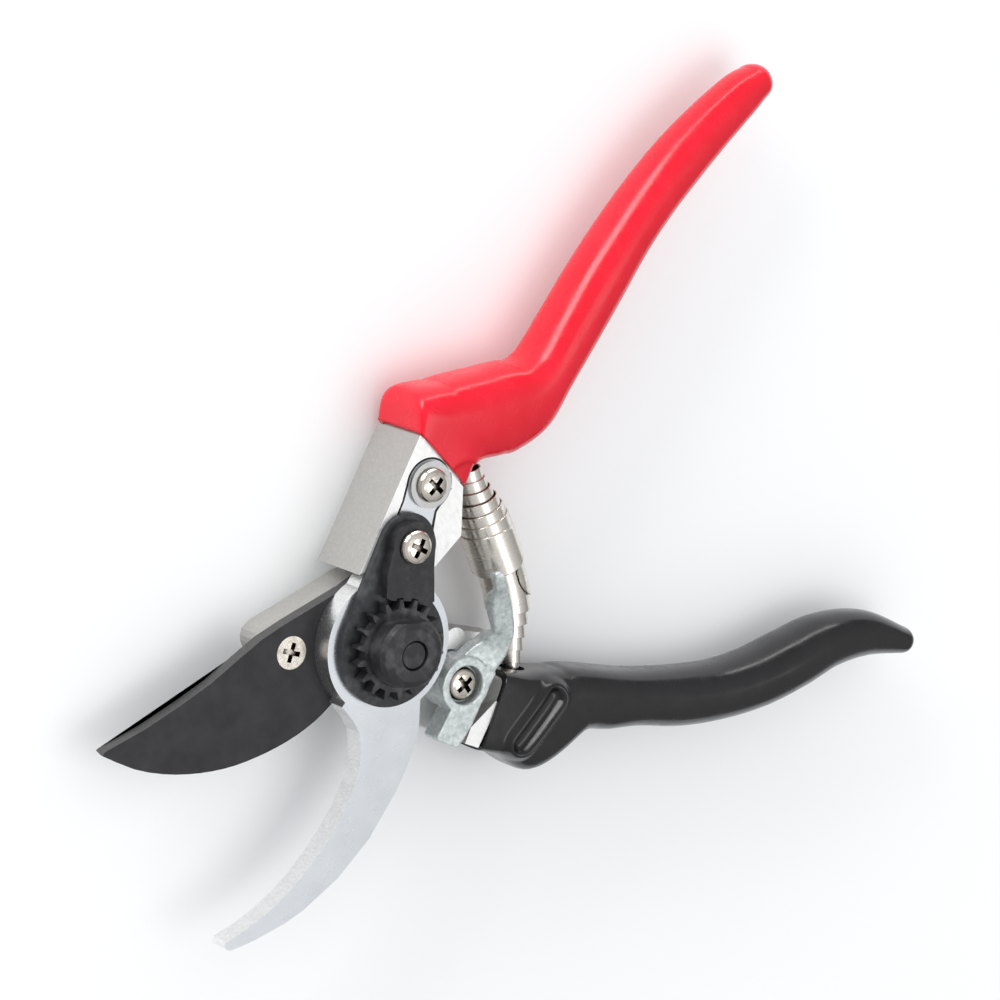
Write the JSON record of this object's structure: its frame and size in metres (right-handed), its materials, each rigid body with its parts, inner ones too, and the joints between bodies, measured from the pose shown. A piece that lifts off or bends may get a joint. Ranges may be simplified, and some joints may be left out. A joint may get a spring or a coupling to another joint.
{
  "type": "pruning shears",
  "caption": "Bypass pruning shears with a hooked counter blade, coated cutting blade, toothed locking nut, volute spring and a thumb catch, fully open.",
  "frame": {"origin": "on the pivot axis, at the outer face of the bolt head that the shears rest on", "axes": "+Z along the pivot axis towards the toothed nut, +Y out along the jaws away from the handles, +X towards the cutting blade"},
  "size_m": [0.1441, 0.2049, 0.0277],
  "materials": {
    "bolt_black_oxide": "black oxide, satin",
    "nut_black_oxide": "black oxide, satin, rubbed brighter on the edges",
    "plate_black_oxide": "black oxide, satin",
    "segment_black_oxide": "black oxide, satin",
    "screw_nickel": "nickel plate, bright",
    "hook_chrome": "satin chrome, ground inner edge",
    "cast_aluminium": "forged aluminium, finely brushed",
    "red_coat": "dipped soft coat, glossy",
    "bush_bronze": "sintered bronze, oiled",
    "washer_steel": "plain steel",
    "blade_coating": "non-stick coating, semi-matte",
    "black_coat": "dipped soft coat, semi-gloss",
    "spring_nickel": "nickel-plated strip",
    "catch_zinc": "grey die casting, mottled"
  },
  "bodies": {
    "hook_handle": {"pivot_bolt": "bolt_black_oxide", "toothed_nut": "nut_black_oxide", "lock_plate": "plate_black_oxide", "toothed_segment": "segment_black_oxide", "segment_screw": "screw_nickel", "hook_blade": "hook_chrome", "tang_washer": "screw_nickel", "tang_screw": "screw_nickel", "red_handle_core": "cast_aluminium", "red_grip": "red_coat"},
    "blade_handle": {"pivot_bush": "bush_bronze", "thrust_washer": "washer_steel", "cutting_blade": "blade_coating", "blade_screw": "screw_nickel", "black_handle_core": "cast_aluminium", "black_grip": "black_coat", "catch_washer": "washer_steel", "catch_screw": "screw_nickel", "volute_spring": "spring_nickel"},
    "catch": {"thumb_catch": "catch_zinc"}
  },
  "joints": [
    {"name": "main_pivot", "type": "hinge", "parent": "hook_handle", "child": "blade_handle", "pos_m": [0, 0, 0.013], "axis": [0, 0, 1], "range_deg": [0, 44], "stiffness_Nm_per_rad": 1.2, "springref_deg": -5.73, "deforming": ["volute_spring"]},
    {"name": "catch_pivot", "type": "hinge", "parent": "blade_handle", "child": "catch", "pos_m": [-0.0184, -0.0121, 0.013], "axis": [0, 0, 1], "range_deg": [-14, 0]}
  ]
}
